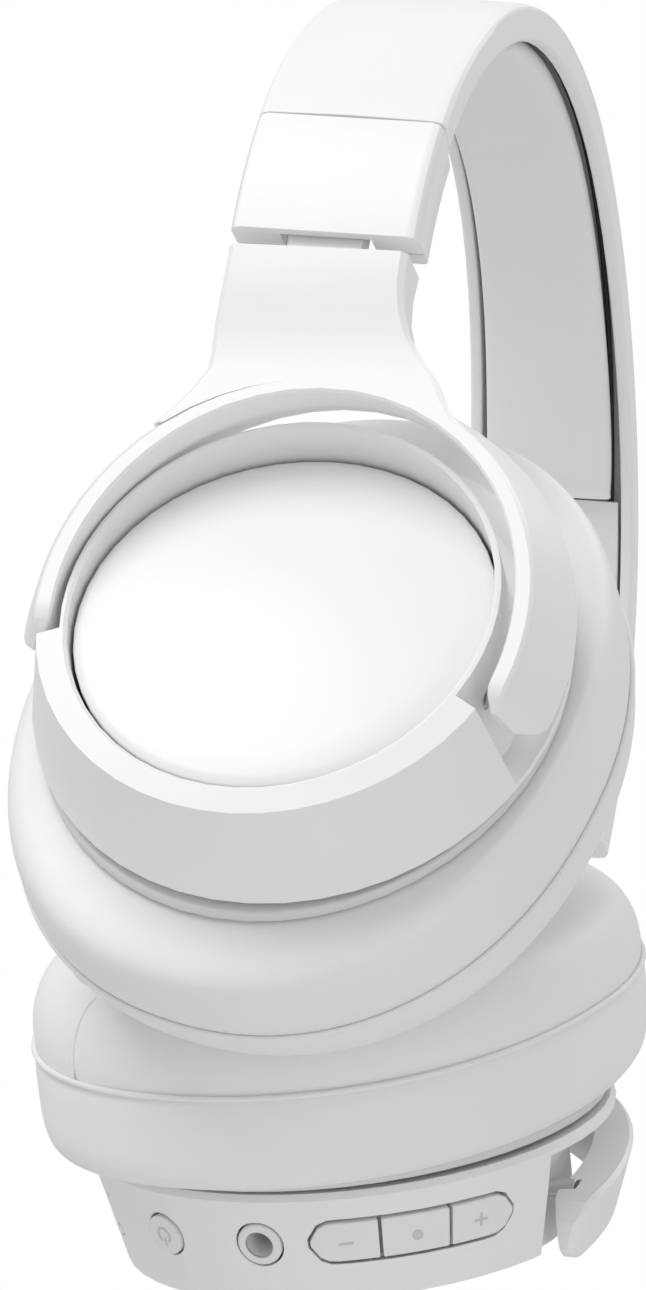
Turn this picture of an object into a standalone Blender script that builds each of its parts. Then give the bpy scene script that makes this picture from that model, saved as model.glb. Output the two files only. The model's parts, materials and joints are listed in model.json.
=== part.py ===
"""Over-ear wireless headphones: padded band, sliding arms, folding knuckles, yokes and ear cups."""

import math

import bmesh
import bpy
from mathutils import Matrix, Vector

MM = 0.001

# Headband, mm. The curve is its outer surface in the plane Y = 0, as one half of a symmetric arch.
CROWN_TOP = 8.55
END_X = 79.9
END_Z = -85.7
FLARE = -17.1
CROWN_HANDLE = 43.2
ARM_HANDLE = 46.1
WIDTH_END = 25.6
WIDTH_CROWN = 22.4
SHELL_DEPTH = 5.2
WALL = 1.8
PAD_HALF = 58.0
PAD_RISE = 3.0
SPRING_HALF = 56.0
BAND_STATIONS = 36

# Arm end and fold hinge, mm from the hinge axis or from the outer surface.
GAP = 3.0
END_LENGTH = 18.6
SEAM_GAP = 0.4
RAIL_INSIDE = 40.0
RAIL_HALF = 10.2
HINGE_UP = 6.5
HINGE_DEPTH = 4.3
BARREL_RADIUS = 2.4
PIN_RADIUS = 0.8
RUNNING_GAP = 0.35
YOKE_TOP = -8.0

# Rest pose, as {side: value}. 1 is the wearer's left, at +X, and -1 the right.
SIDES = {1: "left", -1: "right"}
SLIDE = {1: 0.0, -1: 30.0}
FOLD = {1: 11.0, -1: 28.8}
SWIVEL = {1: -2.0, -1: 7.4}
TILT = {1: -9.5, -1: 8.5}

# Ear cup, placed from the fold axis. CUP_TURN leans the ovals to the rear, PIVOT_TURN the pins.
CUP_IN = -16.6
CUP_REAR = 3.0
CUP_DROP = 58.8
CUP_TURN = 13.7
PIVOT_TURN = 7.0
PIVOT_OUT = 9.0
PIVOT_UP = -4.0
PIN_REACH = 34.0
PIN_START = 29.0

# Ovals of the housing: half width, half height and distance outwards from the cushion's seat.
OPEN_A, OPEN_B, OPEN_OUT = 27.8, 28.9, 17.0
RIM_A, RIM_B, RIM_OUT = 32.0, 32.7, 16.3
FOOT_A, FOOT_B, FOOT_OUT = 35.7, 36.5, 0.4
OPEN_SHIFT = -0.3
CAP_GAP = 0.45
LEG_OVER = 15.0
CHANNEL_OVER = 3.5

# Controls on the lower wall of the right cup, degrees round the oval from the rear.
KEY_ANGLES = {"volume_up": -30.5, "multi_button": -46.5, "volume_down": -62.5}
KEY_SPAN = 15.2
KEY_HALF_HEIGHT = 3.1
JACK_ANGLE = -82.0
POWER_ANGLE = -108.0
LED_ANGLE = -134.0
USB_ANGLE = -150.0
CONTROL_OUT = 7.6

# Section of the yoke's arch round the cup: half width, half height, out and shift up.
YOKE_SECTION = (
    (30.6, 32.4, 14.2, -0.4),
    (30.5, 31.9, 17.9, -0.4),
    (30.8, 32.2, 18.3, -0.4),
    (32.6, 33.5, 18.3, -0.4),
    (33.4, 34.2, 17.6, -0.4),
    (37.0, 36.6, 9.0, -0.2),
    (36.5, 36.2, 8.4, -0.2),
    (31.0, 34.2, 8.4, -0.2),
)
YOKE_STEPS = 44
TIP_ROUNDING = 3.2
# How much closer together the rings are near the tips.
CROWDING = 0.7
YOKE_FACE = 18.3
YOKE_REAR = 1.1
YOKE_EDGE = 33.0
STEM_HALF = 12.2
STEM_FILLET = 34.0
STEM_LOW = -24.0
STEM_DROPS = (0.0, 4.0, 8.0, 11.0, 14.0, 17.0, 20.0, 23.0, 25.5)
# What the stem keeps clear of, inside the arch: half width, half height and out.
STEM_INSIDE = ((36.6, 37.4, 4.0), (32.6, 33.4, 14.0), (31.2, 32.4, 26.0))
# Channel in the housing that the arch tilts in.
CHANNEL = (
    (28.8, 29.5, 24.0, -0.3),
    (28.8, 29.5, 7.0, -0.3),
    (31.6, 32.4, 2.2, 0.0),
    (46.0, 50.0, 1.1, 0.0),
    (46.0, 50.0, 24.0, 0.0),
)

OVAL_SEGMENTS = 48
TURN_STEPS = 24


def clear_scene():
    for obj in list(bpy.data.objects):
        bpy.data.objects.remove(obj, do_unlink=True)
    for mesh in list(bpy.data.meshes):
        bpy.data.meshes.remove(mesh)


def new_collection(name):
    collection = bpy.data.collections.new(name)
    bpy.context.scene.collection.children.link(collection)
    return collection


def material(name, colour, roughness, metallic=0.0):
    made = bpy.data.materials.new(name)
    made.use_nodes = True
    shader = made.node_tree.nodes["Principled BSDF"]
    shader.inputs["Base Color"].default_value = (*colour, 1.0)
    shader.inputs["Roughness"].default_value = roughness
    shader.inputs["Metallic"].default_value = metallic
    made.diffuse_color = (*colour, 1.0)
    return made


def moving_frame(name, matrix, parent=None):
    """An empty on a joint's axis. Its children are the pieces that move with the joint."""
    empty = bpy.data.objects.new(name, None)
    PARTS.objects.link(empty)
    empty.parent = parent
    empty.matrix_basis = matrix
    return empty


def keep(obj, parent, look):
    """Puts an object under its moving frame: a part if it has a material, or else a cutter."""
    obj.parent = parent
    if look:
        PARTS.objects.link(obj)
        obj.data.materials.append(look)
        return obj
    CUTTERS.objects.link(obj)
    obj.hide_render = True
    obj.display_type = "WIRE"
    return obj


def loft(name, rings, parent, look=None, side=1, closed=False):
    """Quads between rings of points in mm. A ring of one point is a pole, and open ends are capped."""
    shape = bmesh.new()
    rows = [[shape.verts.new((side * x * MM, y * MM, z * MM)) for x, y, z in ring] for ring in rings]
    pairs = list(zip(rows, rows[1:]))
    if closed:
        pairs.append((rows[-1], rows[0]))
    for first, second in pairs:
        join_rings(shape, first, second)
    if not closed:
        for row in (rows[0], rows[-1]):
            if len(row) > 1:
                shape.faces.new(row)
    return finish_mesh(name, shape, parent, look)


def join_rings(shape, first, second):
    count = max(len(first), len(second))
    for k in range(count):
        m = (k + 1) % count
        if len(first) == 1:
            shape.faces.new((first[0], second[m], second[k]))
        elif len(second) == 1:
            shape.faces.new((first[k], first[m], second[0]))
        else:
            shape.faces.new((first[k], first[m], second[m], second[k]))


def finish_mesh(name, shape, parent, look):
    bmesh.ops.recalc_face_normals(shape, faces=shape.faces)
    if shape.calc_volume(signed=True) < 0:
        bmesh.ops.reverse_faces(shape, faces=shape.faces)
    mesh = bpy.data.meshes.new(name)
    shape.to_mesh(mesh)
    shape.free()
    return keep(bpy.data.objects.new(name, mesh), parent, look)


def box(name, low, high, parent, look=None, side=1, local=None):
    size = [abs(b - a) * MM for a, b in zip(low, high)]
    middle = [(a + b) / 2 * MM for a, b in zip(low, high)]
    middle[0] *= side
    shape = bmesh.new()
    place = Matrix.Translation(middle) @ Matrix.Diagonal((*size, 1.0))
    bmesh.ops.create_cube(shape, size=1.0, matrix=(local or Matrix.Identity(4)) @ place)
    return finish_mesh(name, shape, parent, look)


def rod(name, start, end, radius, parent, look=None, side=1, segments=20):
    """A cylinder between two points in mm."""
    first = Vector((side * start[0], start[1], start[2])) * MM
    last = Vector((side * end[0], end[1], end[2])) * MM
    turn = (last - first).to_track_quat("Z", "Y").to_matrix().to_4x4()
    shape = bmesh.new()
    bmesh.ops.create_cone(
        shape,
        cap_ends=True,
        segments=segments,
        radius1=radius * MM,
        radius2=radius * MM,
        depth=(last - first).length,
        matrix=Matrix.Translation((first + last) / 2) @ turn,
    )
    return finish_mesh(name, shape, parent, look)


def turned(name, profile, parent, look, side=1, local=None, closed=True):
    """A Screw about the local X axis of (radius, out) points in mm, listed round the outer side first."""
    mesh = bpy.data.meshes.new(name)
    edges = [(k, k + 1) for k in range(len(profile) - 1)]
    if closed:
        edges.append((len(profile) - 1, 0))
    mesh.from_pydata([(radius * MM, 0.0, out * MM) for radius, out in profile], edges, [])
    obj = keep(bpy.data.objects.new(name, mesh), parent, look)
    obj.matrix_basis = (local or Matrix.Identity(4)) @ Matrix.Rotation(side * math.pi / 2, 4, "Y")
    screw = obj.modifiers.new("turn", "SCREW")
    screw.axis = "Z"
    screw.steps = TURN_STEPS
    screw.render_steps = TURN_STEPS
    screw.use_merge_vertices = True
    screw.merge_threshold = 0.00001
    return obj


def boolean(obj, tool, operation="DIFFERENCE"):
    step = obj.modifiers.new(operation.lower() + "_" + tool.name, "BOOLEAN")
    step.operation = operation
    step.solver = "EXACT"
    step.object = tool


# Headband


def arch_curve(count=400):
    """Points of one half of the arch, from the crown to the hinge gap, and the length to each."""
    lean = math.radians(FLARE)
    corners = (
        Vector((0.0, 0.0, CROWN_TOP)),
        Vector((CROWN_HANDLE, 0.0, CROWN_TOP)),
        Vector((END_X - ARM_HANDLE * math.sin(lean), 0.0, CROWN_TOP + END_Z + ARM_HANDLE * math.cos(lean))),
        Vector((END_X, 0.0, CROWN_TOP + END_Z)),
    )
    points = []
    lengths = [0.0]
    for k in range(count + 1):
        t = k / count
        weights = ((1 - t) ** 3, 3 * t * (1 - t) ** 2, 3 * t * t * (1 - t), t**3)
        points.append(sum((corner * weight for corner, weight in zip(corners, weights)), Vector()))
    for first, second in zip(points, points[1:]):
        lengths.append(lengths[-1] + (second - first).length)
    return points, lengths


ARCH, LENGTHS = arch_curve()
HALF_LENGTH = LENGTHS[-1]
END_TOP = HALF_LENGTH - GAP / 2 - END_LENGTH


def arch_at(along):
    """Point of the outer surface and the inward normal, at a signed length from the crown."""
    length = min(abs(along), HALF_LENGTH)
    k = next((i for i, reached in enumerate(LENGTHS) if reached >= length), len(LENGTHS) - 1)
    k = max(k, 1)
    part = (length - LENGTHS[k - 1]) / (LENGTHS[k] - LENGTHS[k - 1])
    point = ARCH[k - 1].lerp(ARCH[k], part)
    run = (ARCH[min(k + 4, len(ARCH) - 1)] - ARCH[max(k - 4, 0)]).normalized()
    if length < 0.6:
        run = Vector((1.0, 0.0, 0.0))
    side = -1 if along < 0 else 1
    return Vector((side * point.x, 0.0, point.z)), Vector((side * run.z, 0.0, -run.x))


def band_width(along):
    part = min(abs(along) / (0.7 * HALF_LENGTH), 1.0)
    part = part * part * (3 - 2 * part)
    return WIDTH_CROWN + (WIDTH_END - WIDTH_CROWN) * part


def band_loft(name, section, start, end, count, look=None, parent=None):
    """A loft along the arch. section(along) gives its (y, depth) points."""
    to_local = Matrix.Identity(4)
    if parent:
        to_local = arm_matrix(1 if start + end > 0 else -1).inverted()
    rings = []
    for k in range(count + 1):
        along = start + (end - start) * k / count
        point, normal = arch_at(along)
        ring = []
        for y, depth in section(along):
            place = point + normal * depth
            ring.append(to_local @ (Vector((place.x, y, place.z)) * MM) / MM)
        rings.append(ring)
    return loft(name, rings, parent, look)


def channel_section(along):
    """The shell: a channel that is open to the inside, with rounded outer edges."""
    half = band_width(along) / 2
    inner = half - WALL
    deep = SHELL_DEPTH
    right = [(half - 1.6, 0.1), (half - 0.5, 0.4), (half, 1.2), (half, deep - 0.4), (half - 0.4, deep)]
    right += [(inner + 0.2, deep), (inner, deep - 0.3), (inner, WALL)]
    return [(0.0, -0.15)] + right + [(-y, depth) for y, depth in reversed(right)]


def plate_section(inset, low, high, chamfer=0.2):
    def section(along):
        half = band_width(along) / 2 - inset
        right = [(half, low), (half, high - chamfer), (half - chamfer, high)]
        return right + [(-y, depth) for y, depth in reversed(right)]

    return section


def strip_section(half, low, high):
    return lambda along: [(-half, low), (half, low), (half, high), (-half, high)]


def pad_section(along):
    half = band_width(along) / 2
    near_end = max(min((PAD_HALF - abs(along)) / 6.0, 1.0), 0.0)
    rise = PAD_RISE * (0.3 + 0.7 * math.sqrt(near_end))
    shoulder = SHELL_DEPTH + 0.35
    neck = half - WALL - 1.2
    wide = half - 2.7
    right = [(neck, 3.5), (neck, shoulder), (wide, shoulder + 0.1), (wide, shoulder + 0.35 * rise)]
    right += [(wide - 1.6, shoulder + 0.8 * rise), (wide - 5.0, shoulder + rise)]
    return right + [(-y, depth) for y, depth in reversed(right)]


def end_section(along):
    half = band_width(along) / 2
    right = [(half - 1.6, -0.1), (half - 0.6, 0.35), (half, 1.4), (half, 5.2)]
    return right + [(-y, depth) for y, depth in reversed(right)]


def build_cable(reach, look):
    """The thin wire between the cups, as a curve with a bevel."""
    curve = bpy.data.curves.new("band_cable", "CURVE")
    curve.dimensions = "3D"
    curve.bevel_depth = 0.45 * MM
    curve.bevel_resolution = 1
    curve.use_fill_caps = True
    spline = curve.splines.new("POLY")
    count = 24
    spline.points.add(count)
    for k, point in enumerate(spline.points):
        place, normal = arch_at(-reach + 2 * reach * k / count)
        place = (place + normal * 2.75 + Vector((0.0, 8.6, 0.0))) * MM
        point.co = (*place, 1.0)
    keep(bpy.data.objects.new("band_cable", curve), None, look)


def build_headband(looks):
    reach = END_TOP - SEAM_GAP
    band_loft("headband_shell", channel_section, -reach, reach, BAND_STATIONS, looks["shell"])
    band_loft("crown_pad", pad_section, -PAD_HALF, PAD_HALF, 16, looks["leather"])
    band_loft("band_spring", strip_section(5.0, 2.2, 2.8), -SPRING_HALF, SPRING_HALF, 20, looks["steel"])
    build_cable(END_TOP - RAIL_INSIDE - 2.0, looks["rubber"])
    for side, word in SIDES.items():
        start = side * (PAD_HALF + 0.5)
        cover = plate_section(WALL + 0.45, 4.4, 5.0)
        band_loft("arm_cover_" + word, cover, start, side * (reach - 0.4), 12, looks["trim"])


# Arm ends, hinges and yokes


def arm_matrix(side):
    """Frame at the fold axis: local X out, Y to the rear, Z up along the arm."""
    lean = math.radians(FLARE)
    up = Vector((-math.sin(lean), 0.0, math.cos(lean)))
    inward = Vector((-math.cos(lean), 0.0, -math.sin(lean)))
    centre = Vector((END_X, 0.0, CROWN_TOP + END_Z)) + up * HINGE_UP + inward * HINGE_DEPTH
    centre.x *= side
    return Matrix.Translation(centre * MM) @ Matrix.Rotation(-side * lean, 4, "Y")


def seat_matrix(side):
    """Place of the untilted cup in the yoke's frame."""
    place = Matrix.Translation(Vector((side * CUP_IN, CUP_REAR, -CUP_DROP)) * MM)
    return place @ Matrix.Rotation(-math.radians(CUP_TURN), 4, "X")


def pivot_axis():
    turn = math.radians(PIVOT_TURN)
    return Vector((0.0, math.cos(turn), math.sin(turn)))


def build_frames(side):
    """Empties on the joints' axes, from the arm down to the cup."""
    word = SIDES[side]
    slide = Matrix.Translation((0.0, 0.0, -SLIDE[side] * MM))
    fold = Matrix.Rotation(math.radians(side * (FLARE + FOLD[side])), 4, "Y")
    swivel = Matrix.Rotation(math.radians(side * SWIVEL[side]), 4, "Z")
    pivot = Matrix.Translation((side * PIVOT_OUT * MM, 0.0, PIVOT_UP * MM))
    tilt = Matrix.Rotation(math.radians(side * TILT[side]), 4, pivot_axis())
    slider = moving_frame("slide_joint_" + word, arm_matrix(side) @ slide)
    knuckle = moving_frame("fold_joint_" + word, fold, slider)
    yoke = moving_frame("swivel_joint_" + word, swivel, knuckle)
    hanger = moving_frame("tilt_joint_" + word, seat_matrix(side) @ pivot @ tilt, yoke)
    cup = moving_frame("cup_frame_" + word, pivot.inverted(), hanger)
    return slider, knuckle, yoke, cup


def rail_section(along):
    return strip_section(RAIL_HALF, 2.7, 3.4)(along)


def build_arm_end(side, frame, looks):
    word = SIDES[side]
    low = side * END_TOP
    high = side * (HALF_LENGTH - GAP / 2)
    shell = band_loft("end_shell_" + word, end_section, low, high, 8, looks["shell"], frame)
    cover_section = plate_section(0.2, 5.5, 8.4, 0.5)
    cover = band_loft("end_cover_" + word, cover_section, low, high, 8, looks["trim"], frame)
    pocket = box("pocket_" + word, (-9.0, -6.2, -9.0), (2.7, 6.2, 3.2), frame, None, side)
    hole_radius = PIN_RADIUS + RUNNING_GAP
    pin_hole = rod("pin_hole_" + word, (0, -10.8, 0), (0, 10.8, 0), hole_radius, frame, None, side, 16)
    slot_ends = (side * (END_TOP - 2.0), side * (END_TOP + 10.4))
    slot_section = strip_section(RAIL_HALF + 0.4, 2.3, 3.8)
    rail_slot = band_loft("rail_slot_" + word, slot_section, *slot_ends, 5, None, frame)
    for tool in (pocket, pin_hole, rail_slot):
        boolean(shell, tool)
    boolean(cover, pocket)
    rail_ends = (side * (END_TOP - RAIL_INSIDE), side * (END_TOP + 10.0))
    band_loft("slider_rail_" + word, rail_section, *rail_ends, 16, looks["trim"], frame)
    rod("hinge_pin_" + word, (0, -10.4, 0), (0, 10.4, 0), PIN_RADIUS, frame, looks["steel"], side, 16)


def build_knuckle(side, frame, looks):
    word = SIDES[side]
    knuckle = rod("knuckle_" + word, (0, -5.8, 0), (0, 5.8, 0), BARREL_RADIUS, frame, looks["shell"], side)
    neck = box("neck_" + word, (-1.8, -5.0, YOKE_TOP + 0.4), (1.8, 5.0, 0.0), frame, None, side)
    shaft = rod("shaft_" + word, (0, 0, YOKE_TOP + 1.5), (0, 0, YOKE_TOP - 9.4), 1.6, frame, None, side, 16)
    bore = rod("bore_" + word, (0, -8, 0), (0, 8, 0), PIN_RADIUS + RUNNING_GAP, frame, None, side, 16)
    boolean(knuckle, neck, "UNION")
    boolean(knuckle, shaft, "UNION")
    boolean(knuckle, bore)


def arch_rings(section, first, last, count, tip=0.0, rear=0.0):
    """Rings of a section swept round the cup, from one angle to another, with ends rounded over tip mm."""
    middle = [sum(point[i] for point in section) / len(section) for i in range(4)]
    rings = []
    for k in range(count + 1):
        turn = 2 * math.pi * k / count
        part = k / count
        if tip:
            part -= CROWDING * math.sin(turn) / (2 * math.pi)
        angle = math.radians(first + (last - first) * part)
        scale = 1.0
        if tip:
            from_end = min(part, 1 - part) * math.radians(last - first) * section[0][0]
            scale = math.sqrt(max(1 - (1 - min(from_end / tip, 1.0)) ** 2, 0.18))
        ring = []
        for point in section:
            a, b, out, shift = (m + (p - m) * scale for p, m in zip(point, middle))
            ring.append((out, a * math.cos(angle) + rear, b * math.sin(angle) + shift))
        rings.append(ring)
    return rings


def stem_half_width(z):
    """The stem is straight, then flares on a fillet that meets the arch's outer edge."""
    centre_y = STEM_HALF + STEM_FILLET
    reach = STEM_FILLET + YOKE_EDGE
    centre_z = math.sqrt(reach * reach - centre_y * centre_y) - CUP_DROP
    below = max(centre_z - z, 0.0)
    return centre_y - math.sqrt(max(STEM_FILLET**2 - below**2, 0.0))


def stem_ring(z):
    """A rounded rectangle that moves from the knuckle's depth to the arch's."""
    half = stem_half_width(z)
    part = min(max((YOKE_TOP - z) / (YOKE_TOP - STEM_LOW), 0.0), 1.0)
    smooth = part * part * (3 - 2 * part)
    high = 4.3 + (CUP_IN + YOKE_FACE - 4.3) * smooth
    low = -3.7 + (high - 4.4 + 3.7) * smooth
    shift = CUP_REAR * part**4
    edge = 0.8
    return [
        (low, shift - half + edge, z),
        (low, shift + half - edge, z),
        (low + edge, shift + half, z),
        (high - edge, shift + half, z),
        (high, shift + half - edge, z),
        (high, shift - half + edge, z),
        (high - edge, shift - half, z),
        (low + edge, shift - half, z),
    ]


def pivot_ends():
    """The two ends of the tilt axis as (name, direction) in the cup's frame."""
    return (("rear", pivot_axis()), ("front", -pivot_axis()))


def build_yoke(side, frame, looks):
    word = SIDES[side]
    first = PIVOT_TURN - LEG_OVER
    last = 180 + PIVOT_TURN + LEG_OVER
    arch = arch_rings(YOKE_SECTION, first, last, YOKE_STEPS, TIP_ROUNDING, YOKE_REAR)
    yoke = loft("yoke_" + word, arch, frame, looks["shell"], side)
    seat = seat_matrix(side)
    yoke.data.transform(seat)
    stem_rings = [stem_ring(YOKE_TOP - drop) for drop in STEM_DROPS]
    stem = loft("stem_" + word, stem_rings, frame, None, side)
    inside = [oval(a, b, out, -0.4) for a, b, out in STEM_INSIDE]
    clear = loft("stem_inside_" + word, inside, frame, None, side)
    clear.data.transform(seat)
    boolean(stem, clear)
    boolean(yoke, stem, "UNION")
    bore_ends = ((0, 0, YOKE_TOP + 2), (0, 0, YOKE_TOP - 9.8))
    bore = rod("swivel_bore_" + word, *bore_ends, 2.2, frame, None, side, 16)
    boolean(yoke, bore)
    centre = Vector((PIVOT_OUT, 0.0, PIVOT_UP))
    for end, way in pivot_ends():
        ends = (centre + way * PIN_START, centre + way * PIN_REACH)
        pin = rod(f"pivot_pin_{end}_{word}", *ends, 1.2, frame, looks["steel"], side, 16)
        hole_ends = (centre + way * 28.0, centre + way * (PIN_REACH + 0.4))
        hole = rod("pivot_hole_" + end + word, *hole_ends, 1.5, frame, None, side, 16)
        for piece in (pin, hole):
            piece.data.transform(seat)
        boolean(yoke, hole)


# Ear cups


def oval(a, b, out, shift=0.0, power=2.0):
    ring = []
    for k in range(OVAL_SEGMENTS):
        t = 2 * math.pi * k / OVAL_SEGMENTS
        y = a * math.copysign(abs(math.cos(t)) ** (2 / power), math.cos(t))
        z = b * math.copysign(abs(math.sin(t)) ** (2 / power), math.sin(t))
        ring.append((out, y, shift + z))
    return ring


def oval_ring(name, profile, parent, look, side, power=2.0):
    """A ring that is swept round an oval, from (half width, half height, out) points."""
    return loft(name, [oval(a, b, out, 0.0, power) for a, b, out in profile], parent, look, side, True)


def wall_size(out):
    """Half width, half height and shift of the housing's outer wall, at a distance outwards."""
    part = (out - FOOT_OUT) / (RIM_OUT - FOOT_OUT)
    return FOOT_A + (RIM_A - FOOT_A) * part, FOOT_B + (RIM_B - FOOT_B) * part, OPEN_SHIFT * part


def wall_point(angle, out, rise=0.0):
    a, b, shift = wall_size(out)
    t = math.radians(angle)
    return Vector((out, (a + rise) * math.cos(t), (b + rise) * math.sin(t) + shift))


def wall_matrix(angle, out, side):
    """Frame on the outer wall, in metres: local X along the wall's normal, Z outwards."""
    place = wall_point(angle, out)
    outwards = (wall_point(angle, out + 1.0) - place).normalized()
    along = (wall_point(angle + 0.5, out) - wall_point(angle - 0.5, out)).normalized()
    normal = outwards.cross(along).normalized()
    if normal.dot(Vector((0.0, place.y, place.z))) < 0:
        normal = -normal
    outwards = (outwards - normal * outwards.dot(normal)).normalized()
    for vector in (place, normal, outwards):
        vector.x *= side
    across = outwards.cross(normal)
    columns = Matrix((normal, across, outwards)).transposed().to_4x4()
    return Matrix.Translation(place * MM) @ columns


def key_rings(first, last, half, low, high, round_first, round_last, count=8):
    """Rings of a key that follows the wall between two angles, with one or both ends rounded."""
    a, b, _ = wall_size(CONTROL_OUT)
    length = math.radians(last - first) * (a + b) / 2
    rings = []
    for k in range(count + 1):
        angle = first + (last - first) * k / count
        near = half
        if round_first:
            near = min(near, length * k / count)
        if round_last:
            near = min(near, length * (1 - k / count))
        tall = half * math.sqrt(max(1 - (1 - near / half) ** 2, 0.05))
        corners = ((low, -tall), (low, tall), (high, tall - 0.3), (high, -tall + 0.3))
        rings.append([wall_point(angle, CONTROL_OUT + out, rise) for rise, out in corners])
    return rings


def build_keys(housing, cup, looks):
    names = list(KEY_ANGLES)
    for name in names:
        first = KEY_ANGLES[name] - KEY_SPAN / 2
        last = KEY_ANGLES[name] + KEY_SPAN / 2
        ends = (name == names[-1], name == names[0])
        loft(name, key_rings(first, last, KEY_HALF_HEIGHT, -1.2, 0.45, *ends), cup, looks["trim"], -1)
    first = KEY_ANGLES[names[-1]] - KEY_SPAN / 2 - 0.7
    last = KEY_ANGLES[names[0]] + KEY_SPAN / 2 + 0.7
    pill = key_rings(first, last, KEY_HALF_HEIGHT + 0.4, -2.0, 2.0, True, True, 20)
    boolean(housing, loft("key_recess", pill, cup, None, -1))


def wall_rod(name, angle, out, low, high, radius, cup, look=None, segments=24):
    """A cylinder along the wall's normal on the right cup."""
    frame = wall_matrix(angle, out, 1)
    start = frame @ Vector((low * MM, 0.0, 0.0)) / MM
    end = frame @ Vector((high * MM, 0.0, 0.0)) / MM
    return rod(name, start, end, radius, cup, look, -1, segments)


def build_controls(housing, cup, looks):
    build_keys(housing, cup, looks)
    wall_rod("power_button", POWER_ANGLE, CONTROL_OUT, -1.2, 0.5, 2.9, cup, looks["trim"])
    boolean(housing, wall_rod("power_recess", POWER_ANGLE, CONTROL_OUT, -2.0, 4.0, 3.25, cup))
    sleeve = [(3.1, 0.15), (3.1, -9.0), (1.8, -9.0), (1.8, 0.1), (1.95, 0.3), (2.8, 0.3)]
    turned("jack_socket", sleeve, cup, looks["trim"], 1, wall_matrix(JACK_ANGLE, CONTROL_OUT, -1))
    boolean(housing, wall_rod("jack_hole", JACK_ANGLE, CONTROL_OUT, -12.0, 4.0, 3.4, cup))
    port = wall_matrix(USB_ANGLE, CONTROL_OUT, -1)
    socket = box("usb_socket", (-7.5, -4.5, -1.6), (-0.4, 4.5, 1.6), cup, looks["steel"], 1, port)
    boolean(socket, box("usb_mouth", (-6.0, -4.1, -1.2), (2.0, 4.1, 1.2), cup, None, 1, port))
    boolean(housing, box("usb_hole", (-12.0, -4.85, -1.95), (4.0, 4.85, 1.95), cup, None, 1, port))
    wall_rod("status_led", LED_ANGLE, CONTROL_OUT + 3.0, -3.0, 0.1, 0.7, cup, looks["lens"], 12)
    boolean(housing, wall_rod("led_hole", LED_ANGLE, CONTROL_OUT + 3.0, -12.0, 4.0, 1.05, cup, None, 12))
    wall_rod("microphone", LED_ANGLE, CONTROL_OUT - 2.2, -4.2, -2.4, 2.0, cup, looks["steel"], 16)
    boolean(housing, wall_rod("mic_pocket", LED_ANGLE, CONTROL_OUT - 2.2, -12.0, -2.0, 2.4, cup, None, 16))
    boolean(housing, wall_rod("mic_hole", LED_ANGLE, CONTROL_OUT - 2.2, -3.0, 4.0, 0.5, cup, None, 10))


def build_housing(side, cup, looks):
    word = SIDES[side]
    low_a, low_b, low_shift = wall_size(3.0)
    rings = [
        oval(FOOT_A - 0.6, FOOT_B - 0.6, FOOT_OUT),
        oval(FOOT_A, FOOT_B, FOOT_OUT + 0.9),
        oval(RIM_A, RIM_B, RIM_OUT, OPEN_SHIFT),
        oval(OPEN_A + 0.5, OPEN_B + 0.5, OPEN_OUT, OPEN_SHIFT),
        oval(OPEN_A, OPEN_B, OPEN_OUT - 0.4, OPEN_SHIFT),
        oval(OPEN_A, OPEN_B, 4.2, OPEN_SHIFT),
        oval(low_a - 4.4, low_b - 4.4, 3.2, low_shift),
        oval(FOOT_A - 4.6, FOOT_B - 4.6, FOOT_OUT),
    ]
    housing = loft("housing_" + word, rings, cup, looks["shell"], side, True)
    first = PIVOT_TURN - LEG_OVER - CHANNEL_OVER
    last = 180 + PIVOT_TURN + LEG_OVER + CHANNEL_OVER
    boolean(housing, loft("channel_" + word, arch_rings(CHANNEL, first, last, 32), cup, None, side))
    centre = Vector((PIVOT_OUT, 0.0, PIVOT_UP))
    for end, way in pivot_ends():
        seat = rod("seat_" + end + word, centre + way * 28.6, centre + way * 40.0, 1.55, cup, None, side, 16)
        boolean(housing, seat)
    if side < 0:
        build_controls(housing, cup, looks)


def cap_out(z, scale):
    """Outer face of the cap: flush at the bottom, set deep at the top and domed in the middle."""
    part = (z - OPEN_SHIFT + OPEN_B) / (2 * OPEN_B)
    return 16.6 - 6.4 * part**1.3 + 2.6 * (1 - scale * scale)


def cap_ring(scale, drop):
    if scale == 0:
        return [(cap_out(OPEN_SHIFT, 0.0) - drop, 0.0, OPEN_SHIFT)]
    ring = []
    for _, y, z in oval((OPEN_A - CAP_GAP) * scale, (OPEN_B - CAP_GAP) * scale, 0.0, OPEN_SHIFT):
        ring.append((cap_out(z, scale) - drop, y, z))
    return ring


def build_cap(side, cup, looks):
    face = [cap_ring(scale, 0.0) for scale in (0.0, 0.3, 0.6, 0.82, 0.95)]
    edge = [cap_ring(1.0, 0.5), cap_ring(1.0, 2.4), cap_ring(0.93, 2.4)]
    back = [cap_ring(scale, 1.8) for scale in (0.9, 0.6, 0.3, 0.0)]
    loft("cap_" + SIDES[side], face + edge + back, cup, looks["cap"], side)


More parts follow.
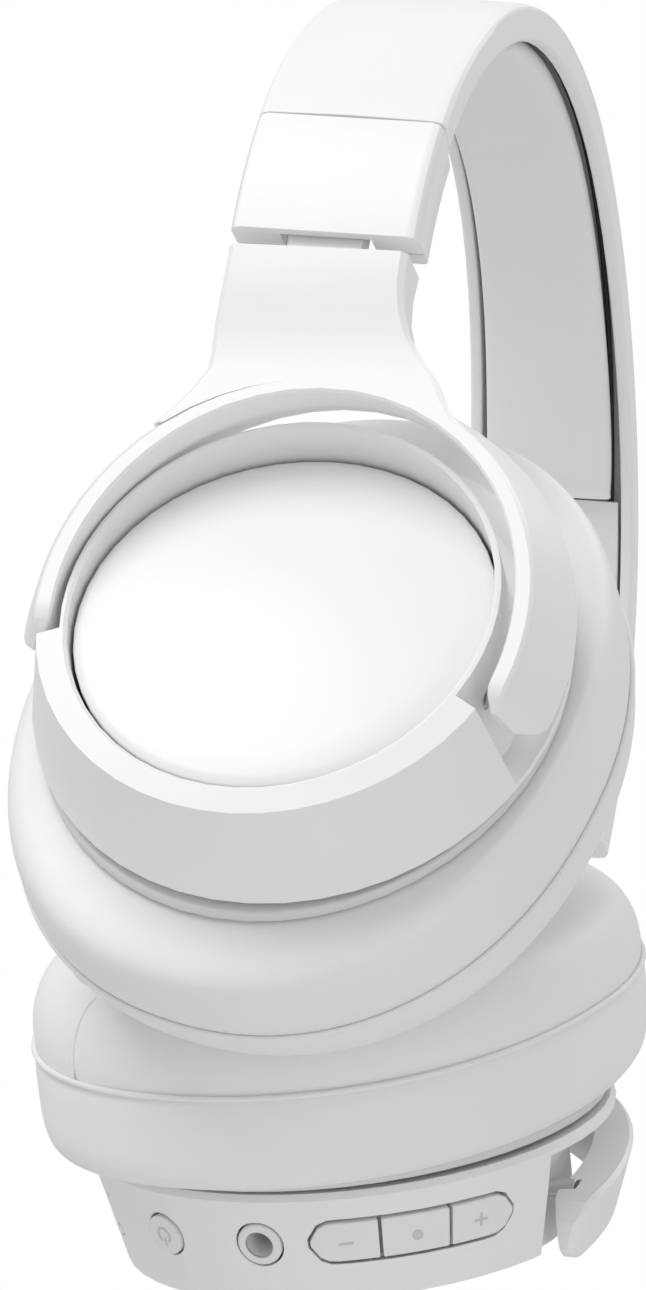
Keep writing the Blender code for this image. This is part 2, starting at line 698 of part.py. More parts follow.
def build_driver(side, cup, looks):
    word = SIDES[side]
    half, tall = FOOT_A - 5.3, FOOT_B - 5.3
    baffle = ((half, tall, 0.9), (half, tall, 2.3), (20.9, 20.9, 2.3), (20.9, 20.9, 0.9))
    oval_ring("baffle_" + word, baffle, cup, looks["inside"], side)
    basket = [(20.4, 4.2), (20.4, 0.2), (18.6, 0.2), (18.6, 3.4)]
    basket += [(12.6, 5.2), (9.4, 5.2), (9.4, 6.2), (13.0, 6.2)]
    turned("driver_frame_" + word, basket, cup, looks["inside"], side)
    magnet = [(0.0, 9.2), (8.6, 9.2), (9.0, 8.8), (9.0, 4.3), (8.6, 3.9), (0.0, 3.9)]
    turned("driver_magnet_" + word, magnet, cup, looks["steel"], side, None, False)
    cone = [(0.0, 1.3), (6.0, 1.7), (9.0, 2.4), (14.0, 1.6), (18.2, 1.8)]
    cone += [(18.2, 1.4), (14.0, 1.2), (9.0, 2.0), (6.0, 1.3), (0.0, 0.9)]
    turned("diaphragm_" + word, cone, cup, looks["film"], side, None, False)
    scrim = [oval(22.0, 28.6, -1.1), oval(22.0, 28.6, -0.6)]
    loft("scrim_" + word, scrim, cup, looks["fabric"], side)


# Section of the ear cushion: half width, half height, out.
CUSHION = (
    (34.4, 37.4, -2.3),
    (36.4, 44.6, -3.0),
    (37.6, 47.0, -5.6),
    (38.3, 46.8, -11.0),
    (38.7, 46.0, -16.0),
    (38.6, 44.6, -21.5),
    (35.8, 41.6, -25.8),
    (30.0, 36.8, -27.4),
    (24.6, 32.0, -25.6),
    (21.4, 29.0, -20.5),
    (20.6, 28.4, -13.0),
    (21.4, 29.2, -6.0),
    (23.4, 30.4, -2.3),
)


def build_cushion(side, cup, looks):
    word = SIDES[side]
    outer = ((34.4, 37.0, -0.3), (34.8, 37.4, -0.8), (34.8, 37.4, -1.9))
    plate = (*outer, (22.8, 29.4, -1.9), (22.8, 29.4, -0.3))
    oval_ring("cushion_ring_" + word, plate, cup, looks["inside"], side)
    oval_ring("cushion_" + word, CUSHION, cup, looks["leather"], side, 2.15)


def build_looks():
    return {
        "shell": material("white_plastic", (0.86, 0.86, 0.86), 0.42),
        "trim": material("white_trim", (0.80, 0.80, 0.80), 0.5),
        "cap": material("white_cap", (0.88, 0.88, 0.88), 0.35),
        "leather": material("white_leatherette", (0.84, 0.84, 0.83), 0.6),
        "steel": material("steel", (0.55, 0.56, 0.58), 0.3, 1.0),
        "rubber": material("cable_black", (0.03, 0.03, 0.03), 0.6),
        "inside": material("inner_plastic", (0.75, 0.75, 0.75), 0.6),
        "film": material("diaphragm_film", (0.35, 0.35, 0.36), 0.4),
        "fabric": material("scrim_fabric", (0.7, 0.7, 0.7), 0.9),
        "board": material("circuit_board", (0.02, 0.22, 0.08), 0.5),
        "cell": material("battery_foil", (0.6, 0.6, 0.62), 0.35, 0.6),
        "lens": material("led_lens", (0.9, 0.9, 0.9), 0.15),
    }


def build():
    looks = build_looks()
    build_headband(looks)
    cups = {}
    for side in SIDES:
        slider, knuckle, yoke, cup = build_frames(side)
        build_arm_end(side, slider, looks)
        build_knuckle(side, knuckle, looks)
        build_yoke(side, yoke, looks)
        build_housing(side, cup, looks)
        build_cap(side, cup, looks)
        build_driver(side, cup, looks)
        build_cushion(side, cup, looks)
        cups[side] = cup
    box("main_board", (11.0, -15.0, -24.0), (11.9, 15.0, -10.5), cups[-1], looks["board"], -1)
    box("battery", (6.8, -13.0, -24.5), (11.9, 13.0, -10.2), cups[1], looks["cell"])


clear_scene()
PARTS = new_collection("over_ear_headphones")
CUTTERS = new_collection("cutters")
build()
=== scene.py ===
import json
import math

import bmesh
import bpy
from mathutils import Matrix, Vector


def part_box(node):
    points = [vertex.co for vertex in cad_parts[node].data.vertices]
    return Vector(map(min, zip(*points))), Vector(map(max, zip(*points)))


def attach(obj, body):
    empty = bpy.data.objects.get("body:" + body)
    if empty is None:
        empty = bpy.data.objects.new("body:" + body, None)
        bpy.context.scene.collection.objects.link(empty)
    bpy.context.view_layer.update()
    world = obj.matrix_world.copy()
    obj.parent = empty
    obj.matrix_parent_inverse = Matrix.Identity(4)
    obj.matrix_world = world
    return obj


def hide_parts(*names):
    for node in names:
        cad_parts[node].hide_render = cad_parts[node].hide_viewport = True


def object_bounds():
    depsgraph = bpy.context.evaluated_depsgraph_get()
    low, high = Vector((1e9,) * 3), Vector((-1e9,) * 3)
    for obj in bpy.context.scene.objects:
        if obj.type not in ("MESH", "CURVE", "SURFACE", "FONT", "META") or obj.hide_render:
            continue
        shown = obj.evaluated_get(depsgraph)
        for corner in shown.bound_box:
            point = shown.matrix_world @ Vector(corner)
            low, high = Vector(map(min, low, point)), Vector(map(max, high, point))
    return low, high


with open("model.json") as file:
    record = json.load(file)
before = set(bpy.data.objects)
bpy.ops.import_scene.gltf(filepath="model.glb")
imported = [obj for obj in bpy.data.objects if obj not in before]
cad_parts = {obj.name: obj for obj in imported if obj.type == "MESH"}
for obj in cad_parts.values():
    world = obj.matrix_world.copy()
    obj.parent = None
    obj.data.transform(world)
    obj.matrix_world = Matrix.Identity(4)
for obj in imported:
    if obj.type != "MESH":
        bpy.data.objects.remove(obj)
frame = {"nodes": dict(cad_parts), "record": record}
CAD_LOW, CAD_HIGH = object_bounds()
NODES = frame["nodes"]
MM = 0.001

# How the CAD nodes are smoothed: lengths in metres.
SMOOTH_ANGLE = math.radians(32.0)
EDGE_ROUNDING = 0.00025
EDGE_SEGMENTS = 2
WELD_DISTANCE = 0.000001
NORMAL_WEIGHT = 60

# The lean of a cup's tilt axis, and the distance from its ear pad mount to the cup's own frame, in metres.
PIVOT_TURN = math.radians(7.0)
PAD_REACH = 0.027

# The ear cushion's section: half width, half height and distance outwards from the housing, in millimetres.
CUSHION = (
    (34.4, 37.4, -2.3),
    (36.4, 44.6, -3.0),
    (37.6, 46.9, -5.6),
    (38.3, 46.7, -11.0),
    (38.6, 45.9, -16.0),
    (38.4, 44.5, -21.5),
    (35.8, 41.5, -25.6),
    (30.0, 36.8, -27.2),
    (24.6, 32.0, -25.6),
    (21.4, 29.0, -20.5),
    (20.6, 28.4, -13.0),
    (21.4, 29.2, -6.0),
    (23.4, 30.4, -2.3),
)
CUSHION_SEAM = 4
CUSHION_STEPS = 4
CUSHION_SEGMENTS = 96
CUSHION_POWER = 2.15
# The cover is drawn in along its seam, and is held there and where it meets the housing, in millimetres.
CREASE_DEPTH = 0.7
CREASE_WIDTH = 0.9
HELD_OUT = -3.4
HELD_SEAM = 1.0
# Cloth: how far each cover may swell, in metres, and the simulation's settings.
CUSHION_SWELL = 0.0006
PAD_SWELL = 0.0004
CLOTH_PRESSURE = 4.0
CLOTH_QUALITY = 5
CLOTH_MASS = 0.15
CLOTH_FRAMES = 20

# The band's outer curve, in millimetres: its crown, its end from there, its lean and its curve handles.
BAND_TOP = 8.55
BAND_END = (79.9, -85.7)
BAND_LEAN = -17.1
BAND_HANDLES = (43.2, 46.1)
BAND_STEPS = 200
# The crown pad, in millimetres.
PAD_LENGTH = 57.8
PAD_WIDTH = 17.2
PAD_FLARE = 2.4
PAD_MIDDLE = 6.0
PAD_THICK = 2.3
PAD_SQUARE = 0.55
PAD_END_POWER = 6.0
PAD_END_LEAST = 0.12
PAD_END_WIDTH = 0.9
PAD_STATIONS = 60
PAD_SIDES = 28
PAD_HELD = 0.3

# The welt is in millimetres, and the sewn joint's radius in metres.
WELT_RADIUS = 0.4
WELT_SIDES = 10
JOINT_RADIUS = 0.00022
JOINT_ANGLE = math.radians(246.0)
JOINT_POINTS = 10

# The marks on the controls, in millimetres and degrees, and their depth and height in metres.
MARK_LENGTH = 2.0
MARK_LINE = 0.32
DOT_RADIUS = 0.75
POWER_RADIUS = 1.1
POWER_LINE = 0.28
POWER_BAR = 1.2
POWER_BAR_UP = 1.0
POWER_ARC = (125.0, 415.0)
DISC_SIDES = 32
MARK_SUNK = 0.0001
MARK_RISE = 0.00008

# Azimuth, elevation and roll of the camera.
CAMERA_ANGLES = (18.0, -35.35, 15.0)
CAMERA_AIM = (0.03, 0.0, -0.09145)
CAMERA_OFFSET = (-0.0045, -0.01085)
CAMERA_DISTANCE = 1.21608
CAMERA_LENS = 253.1

WORLD_LIGHT = 0.6
SEEN_LIGHT = 1.0
PAPER = (1.0, 1.0, 1.0, 1.0)
FLOOR_Z = -0.95
FLOOR_REACH = 3.0
# Place towards the camera, to its right and above it, then size and power.
LIGHTS = {
    "key": (0.35, -0.45, 0.9, 0.8, 6.0),
    "fill": (0.9, 0.5, -0.5, 0.9, 2.0),
    "rim": (-0.5, 0.6, 0.7, 0.6, 2.0),
}


# Materials: texture scales per metre, and bump heights in metres.
GRAIN_SCALE = 2600.0
GRAIN_HEIGHT = 0.00004
CLOUD_SCALE = 45.0
GLOSS_CHANGE = 0.05
PLASTIC_TINT = (0.985, 0.988, 0.99)
PEBBLE_SCALE = 900.0
WRINKLE_SCALE = 260.0
LEATHER_CLOUD_SCALE = 30.0
LEATHER_TINT = (0.975, 0.97, 0.96)
LEATHER_HEIGHT = 0.00012
BRUSH_SCALE = 500.0
BRUSH_HEIGHT = 0.00003
MESH_SCALE = 1400.0
MESH_HEIGHT = 0.0002
MESH_HOLE = (0.12, 0.12, 0.12)
TRACK_SCALE = 220.0
TRACK_HEIGHT = 0.00005
BOARD_GREEN = (0.02, 0.22, 0.08)
RAMP_ENDS = (0.3, 0.7)


def principled(name, colour, roughness, metallic=0.0, specular=0.5, coat=0.0):
    made = bpy.data.materials.new(name)
    made.use_nodes = True
    shader = made.node_tree.nodes["Principled BSDF"]
    shader.inputs["Base Color"].default_value = (*colour, 1.0)
    shader.inputs["Roughness"].default_value = roughness
    shader.inputs["Metallic"].default_value = metallic
    shader.inputs["Specular IOR Level"].default_value = specular
    shader.inputs["Coat Weight"].default_value = coat
    made.diffuse_color = (*colour, 1.0)
    return made, made.node_tree, shader


def texture(tree, kind, scale, **settings):
    """A procedural texture in object space, so that it moves with its piece."""
    place = tree.nodes.new("ShaderNodeTexCoord")
    made = tree.nodes.new(kind)
    made.inputs["Scale"].default_value = scale
    for name, value in settings.items():
        made.inputs[name.replace("_", " ")].default_value = value
    tree.links.new(place.outputs["Object"], made.inputs["Vector"])
    return made


def add_bump(tree, shader, height, strength, distance):
    bump = tree.nodes.new("ShaderNodeBump")
    bump.inputs["Strength"].default_value = strength
    bump.inputs["Distance"].default_value = distance
    tree.links.new(height, bump.inputs["Height"])
    tree.links.new(bump.outputs["Normal"], shader.inputs["Normal"])


def vary(tree, source, low, high, target):
    """Maps a texture's value onto a range of a shader input."""
    spread = tree.nodes.new("ShaderNodeMapRange")
    spread.inputs["To Min"].default_value = low
    spread.inputs["To Max"].default_value = high
    tree.links.new(source, spread.inputs["Value"])
    tree.links.new(spread.outputs["Result"], target)


def vary_colour(tree, source, dark, light, target):
    ramp = tree.nodes.new("ShaderNodeValToRGB")
    for stop, position, colour in zip(ramp.color_ramp.elements, RAMP_ENDS, (dark, light)):
        stop.position = position
        stop.color = (*colour, 1.0)
    tree.links.new(source, ramp.inputs["Fac"])
    tree.links.new(ramp.outputs["Color"], target)


def plastic(name, shade, roughness, grain):
    """Moulded satin plastic: a fine spark-eroded grain and slow changes in its gloss."""
    made, tree, shader = principled(name, (shade, shade, shade), roughness)
    fine = texture(tree, "ShaderNodeTexNoise", GRAIN_SCALE, Detail=2.0)
    cloud = texture(tree, "ShaderNodeTexNoise", CLOUD_SCALE, Detail=3.0)
    tint = tuple(shade * part for part in PLASTIC_TINT)
    lit = (shade, shade, shade * 0.998)
    rough = shader.inputs["Roughness"]
    vary_colour(tree, cloud.outputs["Fac"], tint, lit, shader.inputs["Base Color"])
    vary(tree, cloud.outputs["Fac"], roughness - GLOSS_CHANGE, roughness + GLOSS_CHANGE, rough)
    add_bump(tree, shader, fine.outputs["Fac"], grain, GRAIN_HEIGHT)
    return made


def leather(name, shade):
    """Soft protein leather: shallow pebbles with fine creases between them."""
    made, tree, shader = principled(name, (shade, shade, shade * 0.995), 0.5)
    shader.inputs["Sheen Weight"].default_value = 0.12
    shader.inputs["Sheen Roughness"].default_value = 0.5
    shader.inputs["Subsurface Weight"].default_value = 0.06
    shader.inputs["Subsurface Radius"].default_value = (0.002, 0.0016, 0.0013)
    pebble = texture(tree, "ShaderNodeTexVoronoi", PEBBLE_SCALE)
    pebble.feature = "DISTANCE_TO_EDGE"
    wrinkle = texture(tree, "ShaderNodeTexNoise", WRINKLE_SCALE, Detail=5.0)
    mix = tree.nodes.new("ShaderNodeMath")
    mix.operation = "MULTIPLY_ADD"
    mix.inputs[1].default_value = 0.8
    tree.links.new(pebble.outputs["Distance"], mix.inputs[0])
    tree.links.new(wrinkle.outputs["Fac"], mix.inputs[2])
    cloud = texture(tree, "ShaderNodeTexNoise", LEATHER_CLOUD_SCALE, Detail=3.0)
    warm = tuple(shade * part for part in LEATHER_TINT)
    vary_colour(tree, cloud.outputs["Fac"], warm, (shade, shade, shade), shader.inputs["Base Color"])
    vary(tree, wrinkle.outputs["Fac"], 0.42, 0.58, shader.inputs["Roughness"])
    add_bump(tree, shader, mix.outputs["Value"], 0.18, LEATHER_HEIGHT)
    return made


def brushed(name, shade):
    """Bare metal, with a fine uneven gloss."""
    made, tree, shader = principled(name, (shade, shade, shade), 0.3, 1.0)
    lines = texture(tree, "ShaderNodeTexNoise", BRUSH_SCALE, Detail=6.0)
    vary(tree, lines.outputs["Fac"], 0.2, 0.42, shader.inputs["Roughness"])
    add_bump(tree, shader, lines.outputs["Fac"], 0.1, BRUSH_HEIGHT)
    return made


def mesh_cloth(name, shade):
    """Fine acoustic mesh: a grid of small round holes."""
    made, tree, shader = principled(name, (shade, shade, shade), 0.85)
    cells = texture(tree, "ShaderNodeTexVoronoi", MESH_SCALE, Randomness=0.0)
    distance = cells.outputs["Distance"]
    vary_colour(tree, distance, MESH_HOLE, (shade, shade, shade), shader.inputs["Base Color"])
    add_bump(tree, shader, distance, 0.5, MESH_HEIGHT)
    return made


def board_material(name):
    made, tree, shader = principled(name, BOARD_GREEN, 0.35, coat=0.3)
    tracks = texture(tree, "ShaderNodeTexBrick", TRACK_SCALE)
    vary(tree, tracks.outputs["Fac"], 0.3, 0.5, shader.inputs["Roughness"])
    add_bump(tree, shader, tracks.outputs["Fac"], 0.3, TRACK_HEIGHT)
    return made


LOOKS = {
    "white_plastic": plastic("white_plastic", 0.86, 0.36, 0.25),
    "white_trim": plastic("white_trim", 0.82, 0.42, 0.35),
    "white_cap": plastic("white_cap", 0.88, 0.30, 0.15),
    "leatherette": leather("white_leatherette", 0.85),
    "steel": brushed("steel", 0.6),
    "cable": plastic("cable", 0.05, 0.6, 0.3),
    "inner_plastic": plastic("inner_plastic", 0.7, 0.55, 0.4),
    "film": plastic("film", 0.3, 0.3, 0.1),
    "scrim": mesh_cloth("scrim", 0.72),
    "circuit_board": board_material("circuit_board"),
    "battery_foil": brushed("battery_foil", 0.65),
    "lens": plastic("lens", 0.9, 0.15, 0.05),
    "marking": plastic("marking", 0.6, 0.5, 0.2),
}


# The frame's own places


def dress_nodes():
    """Every CAD node gets its material slot's finish, smooth shading and slightly rounded edges."""
    slots = {part["node"]: part["material_slot"] for part in frame["record"]["subparts"]}
    for name, node in NODES.items():
        node.data.materials.clear()
        node.data.materials.append(LOOKS[slots[name]])
        if "custom_normal" in node.data.attributes:
            node.data.attributes.remove(node.data.attributes["custom_normal"])
        node.data.shade_smooth()
        weld = node.modifiers.new("Weld", "WELD")
        weld.merge_threshold = WELD_DISTANCE
        rounding = node.modifiers.new("Rounding", "BEVEL")
        rounding.width = EDGE_ROUNDING
        rounding.segments = EDGE_SEGMENTS
        rounding.limit_method = "ANGLE"
        rounding.angle_limit = SMOOTH_ANGLE
        rounding.harden_normals = False
        normals = node.modifiers.new("Normals", "WEIGHTED_NORMAL")
        normals.weight = NORMAL_WEIGHT


def cup_place(word):
    """The frame of a cup: X outwards, Y to the rear, Z up, worked out from its ear pad and its tilt axis."""
    side = 1 if word == "left" else -1
    mount = next(m for m in frame["record"]["mounts"] if m["name"] == "ear_pad_" + word)
    joint = next(j for j in frame["record"]["behaviour"]["joints"] if j["name"] == f"cup_{word}_tilt")
    inwards = Vector(mount["axis"]).normalized()
    origin = Vector(mount["pos_m"]) - inwards * PAD_REACH
    out = -inwards
    pivot = -Vector(joint["axis"]).normalized()
    across = out.cross(pivot) * side
    rear = pivot * math.cos(PIVOT_TURN) - across * math.sin(PIVOT_TURN)
    up = pivot * math.sin(PIVOT_TURN) + across * math.cos(PIVOT_TURN)
    place = Matrix((out, rear, up)).transposed().to_4x4()
    place.translation = origin
    return place


# Soft pieces


def new_piece(name, points, faces, look):
    mesh = bpy.data.meshes.new(name)
    mesh.from_pydata(points, [], faces)
    shape = bmesh.new()
    shape.from_mesh(mesh)
    bmesh.ops.recalc_face_normals(shape, faces=shape.faces)
    shape.to_mesh(mesh)
    shape.free()
    mesh.materials.append(LOOKS[look])
    mesh.shade_smooth()
    piece = bpy.data.objects.new(name, mesh)
    bpy.context.scene.collection.objects.link(piece)
    return piece


def closed_spline(corners, steps):
    """Points of a smooth closed curve through the corners."""
    points = []
    count = len(corners)
    for k in range(count):
        before, first, second, after = (Vector(corners[(k + i) % count]) for i in (-1, 0, 1, 2))
        for step in range(steps):
            t = step / steps
            point = 2 * first + (second - before) * t
            point += (2 * before - 5 * first + 4 * second - after) * t**2
            point += (3 * first - before - 3 * second + after) * t**3
            points.append(point / 2)
    return points


def oval_point(wide, tall, out, angle, power):
    """Point at an angle on an oval that is squarer the higher its power is, in metres."""
    across = wide * math.copysign(abs(math.cos(angle)) ** (2 / power), math.cos(angle))
    up = tall * math.copysign(abs(math.sin(angle)) ** (2 / power), math.sin(angle))
    return Vector((out, across, up)) * MM


def swept_ring(profile, segments, power, place):
    """Points and faces of a section carried round the cup's oval."""
    points = []
    faces = []
    size = len(profile)
    for k in range(segments):
        angle = 2 * math.pi * (k + 0.5) / segments
        points += [place @ oval_point(*point, angle, power) for point in profile]
        following = (k + 1) % segments
        for i in range(size):
            j = (i + 1) % size
            faces.append((k * size + i, k * size + j, following * size + j, following * size + i))
    return points, faces


def inflate(piece, pinned, limit):
    """Lets the cover swell as cloth under pressure, with no point going further than the limit."""
    group = piece.vertex_groups.new(name="held")
    group.add(pinned, 1.0, "REPLACE")
    cloth = piece.modifiers.new("Cloth", "CLOTH")
    cloth.settings.quality = CLOTH_QUALITY
    cloth.settings.mass = CLOTH_MASS
    cloth.settings.use_pressure = True
    cloth.settings.uniform_pressure_force = CLOTH_PRESSURE
    cloth.settings.vertex_group_mass = "held"
    cloth.settings.effector_weights.gravity = 0.0
    cloth.point_cache.frame_start = 1
    cloth.point_cache.frame_end = CLOTH_FRAMES
    scene = bpy.context.scene
    for step in range(1, CLOTH_FRAMES + 1):
        scene.frame_set(step)
    swollen = piece.evaluated_get(bpy.context.evaluated_depsgraph_get()).data
    moved = []
    for before, after in zip(piece.data.vertices, swollen.vertices):
        step = after.co - before.co
        if step.length > limit:
            step *= limit / step.length
        moved.append(before.co + step)
    piece.modifiers.remove(cloth)
    for vertex, place in zip(piece.data.vertices, moved):
        vertex.co = place
    scene.frame_set(1)


def crease(points, seam, depth, width):
    """Profile points near a seam drawn in towards the middle of the section."""
    middle = sum(points, Vector((0.0, 0.0, 0.0))) / len(points)
    drawn = []
    for point in points:
        near = (point - seam).length / width
        pull = depth * math.exp(-near * near)
        drawn.append(point + (middle - point).normalized() * pull)
    return drawn


def subdivide(piece):
    smooth = piece.modifiers.new("Subdivision", "SUBSURF")
    smooth.levels = 1
    smooth.render_levels = 1


def make_cushion(word):
    """The ear cushion's cover: its section swept round the cup, creased at the seam and swollen as cloth."""
    place = cup_place(word)
    seam = Vector(CUSHION[CUSHION_SEAM])
    profile = crease(closed_spline(CUSHION, CUSHION_STEPS), seam, CREASE_DEPTH, CREASE_WIDTH)
    points, faces = swept_ring(profile, CUSHION_SEGMENTS, CUSHION_POWER, place)
    cover = new_piece("ear_cushion_" + word, points, faces, "leatherette")
    fixed = []
    for i, point in enumerate(profile):
        if point.z > HELD_OUT or (point - seam).length < HELD_SEAM:
            fixed.append(i)
    pinned = [k * len(profile) + i for k in range(CUSHION_SEGMENTS) for i in fixed]
    inflate(cover, pinned, CUSHION_SWELL)
    subdivide(cover)
    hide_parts("cushion_" + word)
    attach(cover, "cup_" + word)


def make_seams(word):
    """The welt round the cushion and the sewn joint across its outer side."""
    place = cup_place(word)
    wide, tall, out = CUSHION[CUSHION_SEAM]
    round_section = []
    for k in range(WELT_SIDES):
        turn = 2 * math.pi * k / WELT_SIDES
        rise = WELT_RADIUS * math.cos(turn)
        along = WELT_RADIUS * math.sin(turn)
        round_section.append(Vector((wide + rise, tall + rise, out + along)))
    points, faces = swept_ring(round_section, CUSHION_SEGMENTS, CUSHION_POWER, place)
    welt = new_piece("cushion_welt_" + word, points, faces, "leatherette")
    start = CUSHION_STEPS * CUSHION_SEAM
    path = closed_spline(CUSHION, CUSHION_STEPS)[start : start + JOINT_POINTS]
    thread = bpy.data.curves.new("cushion_joint_" + word, "CURVE")
    thread.dimensions = "3D"
    thread.bevel_depth = JOINT_RADIUS
    thread.bevel_resolution = 2
    thread.use_fill_caps = True
    spline = thread.splines.new("POLY")
    spline.points.add(len(path) - 1)
    for knot, corner in zip(spline.points, path):
        knot.co = (*(place @ oval_point(*corner, JOINT_ANGLE, CUSHION_POWER)), 1.0)
    joint = bpy.data.objects.new("cushion_joint_" + word, thread)
    bpy.context.scene.collection.objects.link(joint)
    thread.materials.append(LOOKS["leatherette"])
    for piece in (welt, joint):
        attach(piece, "cup_" + word)


# Marks on the controls


def bar_outline(length, width, shift=0.0):
    x, y = length / 2, width / 2
    return [(-x, -y + shift), (x, -y + shift), (x, y + shift), (-x, y + shift)]


def plus_outline(length, width):
    x, y = length / 2, width / 2
    corner = [(x, -y), (x, y), (y, y)]
    quarters = ((1, 0), (0, 1), (-1, 0), (0, -1))
    return [(a * c - b * d, a * d + b * c) for c, d in quarters for a, b in corner]


def disc_outline(radius):
    turns = [2 * math.pi * k / DISC_SIDES for k in range(DISC_SIDES)]
    return [(radius * math.cos(turn), radius * math.sin(turn)) for turn in turns]


def arc_outline(radius, width, first, last):
    outline = []
    for reach, ends in ((radius + width / 2, (first, last)), (radius - width / 2, (last, first))):
        for k in range(DISC_SIDES + 1):
            turn = math.radians(ends[0] + (ends[1] - ends[0]) * k / DISC_SIDES)
            outline.append((reach * math.cos(turn), reach * math.sin(turn)))
    return outline


def button_face(button):
    """Frame on the outer face of a button: X along the cup's edge, Z out of the face."""
    joint = next(j for j in frame["record"]["behaviour"]["joints"] if j["name"] == button + "_press")
    out = -Vector(joint["axis"]).normalized()
    across = cup_place("right").to_3x3() @ Vector((1.0, 0.0, 0.0))
    up = (across - out * across.dot(out)).normalized()
    along = up.cross(out)
    low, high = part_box(button)
    middle = (low + high) / 2
    reach = max((vertex.co - middle).dot(out) for vertex in NODES[button].data.vertices)
    turned = Matrix((along, up, out)).transposed().to_4x4()
    turned.translation = middle + out * (reach - MARK_SUNK)
    return turned


def make_mark(name, button, outline):
    """A thin raised shape on a button's face, which moves with the button."""
    face = button_face(button)
    count = len(outline)
    points = [face @ Vector((x * MM, y * MM, 0.0)) for x, y in outline]
    points += [face @ Vector((x * MM, y * MM, MARK_SUNK + MARK_RISE)) for x, y in outline]
    faces = [tuple(range(count)), tuple(range(count, 2 * count))]
    faces += [(k, (k + 1) % count, count + (k + 1) % count, count + k) for k in range(count)]
    mark = new_piece(name, points, faces, "marking")
    mark.data.shade_flat()
    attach(mark, button)


def make_marks():
    make_mark("mark_minus", "volume_down", bar_outline(MARK_LENGTH, MARK_LINE))
    make_mark("mark_plus", "volume_up", plus_outline(MARK_LENGTH, MARK_LINE))
    make_mark("mark_dot", "multi_button", disc_outline(DOT_RADIUS))
    make_mark("mark_power_ring", "power_button", arc_outline(POWER_RADIUS, POWER_LINE, *POWER_ARC))
    make_mark("mark_power_bar", "power_button", bar_outline(POWER_LINE, POWER_BAR, POWER_BAR_UP))


# The crown pad


def band_curve():
    """Points of the band's outer surface over half the arch, and the length reached at each."""
    low = Vector((BAND_END[0], 0.0, BAND_TOP + BAND_END[1]))
    lean = math.radians(BAND_LEAN)
    up = Vector((-math.sin(lean), 0.0, math.cos(lean)))
    corners = (
        Vector((0.0, 0.0, BAND_TOP)),
        Vector((BAND_HANDLES[0], 0.0, BAND_TOP)),
        low + up * BAND_HANDLES[1],
        low,
    )
    points = []
    lengths = [0.0]
    for k in range(BAND_STEPS + 1):
        t = k / BAND_STEPS
        weights = ((1 - t) ** 3, 3 * t * (1 - t) ** 2, 3 * t * t * (1 - t), t**3)
        points.append(sum((corner * weight for corner, weight in zip(corners, weights)), Vector()))
    for first, second in zip(points, points[1:]):
        lengths.append(lengths[-1] + (second - first).length)
    return points, lengths


def band_place(points, lengths, along):
    """Place on the outer surface and inward normal, at a signed length from the crown."""
    k = next(i for i, reached in enumerate(lengths) if reached >= abs(along))
    k = max(k, 1)
    part = (abs(along) - lengths[k - 1]) / (lengths[k] - lengths[k - 1])
    place = points[k - 1].lerp(points[k], part)
    run = (points[min(k + 1, BAND_STEPS)] - points[k - 1]).normalized()
    side = -1 if along < 0 else 1
    return Vector((side * place.x, 0.0, place.z)), Vector((side * run.z, 0.0, -run.x))


def make_crown_pad():
    """The pad under the crown: a rounded section swept along the band, then swollen as cloth."""
    curve = band_curve()
    points = []
    faces = []
    for k in range(PAD_STATIONS + 1):
        part = 2 * k / PAD_STATIONS - 1
        along = PAD_LENGTH * math.sin(part * math.pi / 2)
        near = math.sqrt(max(1 - abs(along / PAD_LENGTH) ** PAD_END_POWER, PAD_END_LEAST))
        place, normal = band_place(*curve, along)
        half = (PAD_WIDTH + PAD_FLARE * (along / PAD_LENGTH) ** 2) / 2
        for i in range(PAD_SIDES):
            turn = 2 * math.pi * (i + 0.5) / PAD_SIDES
            across = math.copysign(abs(math.cos(turn)) ** PAD_SQUARE, math.cos(turn))
            rise = math.copysign(abs(math.sin(turn)) ** PAD_SQUARE, math.sin(turn))
            depth = PAD_MIDDLE + PAD_THICK * (rise * near if rise > 0 else rise)
            narrowed = PAD_END_WIDTH + (1 - PAD_END_WIDTH) * near
            corner = place + normal * depth + Vector((0.0, half * across * narrowed, 0.0))
            points.append(corner * MM)
    for k in range(PAD_STATIONS):
        for i in range(PAD_SIDES):
            j = (i + 1) % PAD_SIDES
            first, second = k * PAD_SIDES, (k + 1) * PAD_SIDES
            faces.append((first + i, first + j, second + j, second + i))
    faces.append(tuple(range(PAD_SIDES)))
    faces.append(tuple(range(PAD_STATIONS * PAD_SIDES, (PAD_STATIONS + 1) * PAD_SIDES)))
    pad = new_piece("crown_cushion", points, faces, "leatherette")
    turns = [2 * math.pi * (k % PAD_SIDES + 0.5) / PAD_SIDES for k in range(len(points))]
    inflate(pad, [k for k, turn in enumerate(turns) if math.sin(turn) < PAD_HELD], PAD_SWELL)
    subdivide(pad)
    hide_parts("crown_pad")
    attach(pad, "headband")


# Camera, light and floor


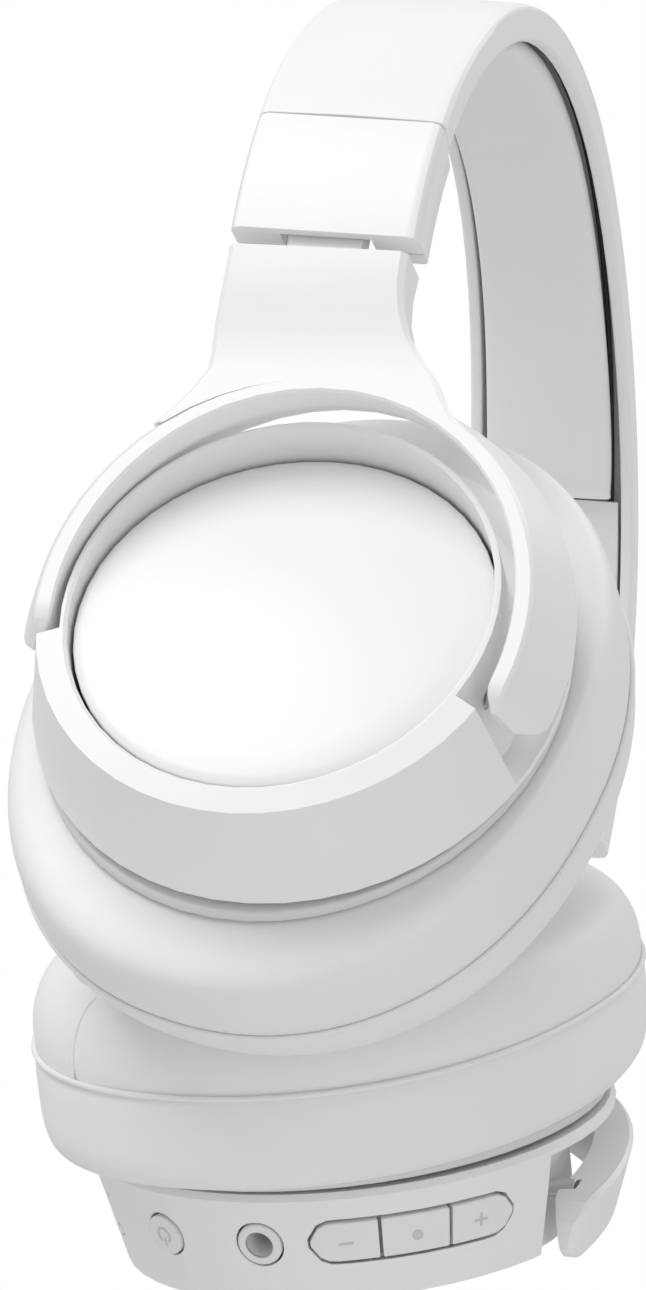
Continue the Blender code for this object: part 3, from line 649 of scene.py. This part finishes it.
def make_camera():
    """The camera, and its axes: back, right and up."""
    turn, lift, roll = (math.radians(angle) for angle in CAMERA_ANGLES)
    back = Vector((math.cos(turn) * math.cos(lift), math.sin(turn) * math.cos(lift), math.sin(lift)))
    right = Vector((-math.sin(turn), math.cos(turn), 0.0))
    up = back.cross(right)
    tilted_right = right * math.cos(roll) + up * math.sin(roll)
    tilted_up = up * math.cos(roll) - right * math.sin(roll)
    aim = Vector(CAMERA_AIM) + tilted_right * CAMERA_OFFSET[0] + tilted_up * CAMERA_OFFSET[1]
    camera = bpy.data.cameras.new("camera")
    camera.sensor_width = 36.0
    camera.lens = CAMERA_LENS
    camera.clip_start = 0.05
    holder = bpy.data.objects.new("camera", camera)
    bpy.context.scene.collection.objects.link(holder)
    placed = Matrix((tilted_right, tilted_up, back)).transposed().to_4x4()
    placed.translation = aim + back * CAMERA_DISTANCE
    holder.matrix_world = placed
    bpy.context.scene.camera = holder
    return back, tilted_right, tilted_up


def area_light(name, place, aim, size, power):
    light = bpy.data.lights.new(name, "AREA")
    light.shape = "DISK"
    light.size = size
    light.energy = power
    holder = bpy.data.objects.new(name, light)
    bpy.context.scene.collection.objects.link(holder)
    turned = (Vector(place) - Vector(aim)).to_track_quat("Z", "Y").to_matrix().to_4x4()
    turned.translation = Vector(place)
    holder.matrix_world = turned


def make_studio(back, right, up):
    world = bpy.data.worlds.new("studio")
    bpy.context.scene.world = world
    world.use_nodes = True
    tree = world.node_tree
    sky = tree.nodes["Background"]
    sky.inputs["Color"].default_value = PAPER
    sky.inputs["Strength"].default_value = WORLD_LIGHT
    seen = tree.nodes.new("ShaderNodeBackground")
    seen.inputs["Strength"].default_value = SEEN_LIGHT
    seen.inputs["Color"].default_value = PAPER
    path = tree.nodes.new("ShaderNodeLightPath")
    mix = tree.nodes.new("ShaderNodeMixShader")
    tree.links.new(path.outputs["Is Camera Ray"], mix.inputs["Fac"])
    tree.links.new(sky.outputs["Background"], mix.inputs[1])
    tree.links.new(seen.outputs["Background"], mix.inputs[2])
    tree.links.new(mix.outputs["Shader"], tree.nodes["World Output"].inputs["Surface"])
    low, high = (Vector(corner) for corner in (CAD_LOW, CAD_HIGH))
    middle = (low + high) / 2
    for name, (along_back, along_right, along_up, size, power) in LIGHTS.items():
        place = middle + back * along_back + right * along_right + up * along_up
        area_light(name, place, middle, size, power)
    mesh = bpy.data.meshes.new("floor")
    corners = [(x * FLOOR_REACH, y * FLOOR_REACH, FLOOR_Z) for x, y in ((-1, -1), (1, -1), (1, 1), (-1, 1))]
    mesh.from_pydata(corners, [], [(0, 1, 2, 3)])
    floor = bpy.data.objects.new("floor", mesh)
    mesh.materials.append(principled("floor", (0.9, 0.9, 0.9), 0.7)[0])
    bpy.context.scene.collection.objects.link(floor)
    bpy.context.scene.view_settings.view_transform = "Standard"


dress_nodes()
for cup_word in ("left", "right"):
    make_cushion(cup_word)
    make_seams(cup_word)
make_crown_pad()
make_marks()
make_studio(*make_camera())
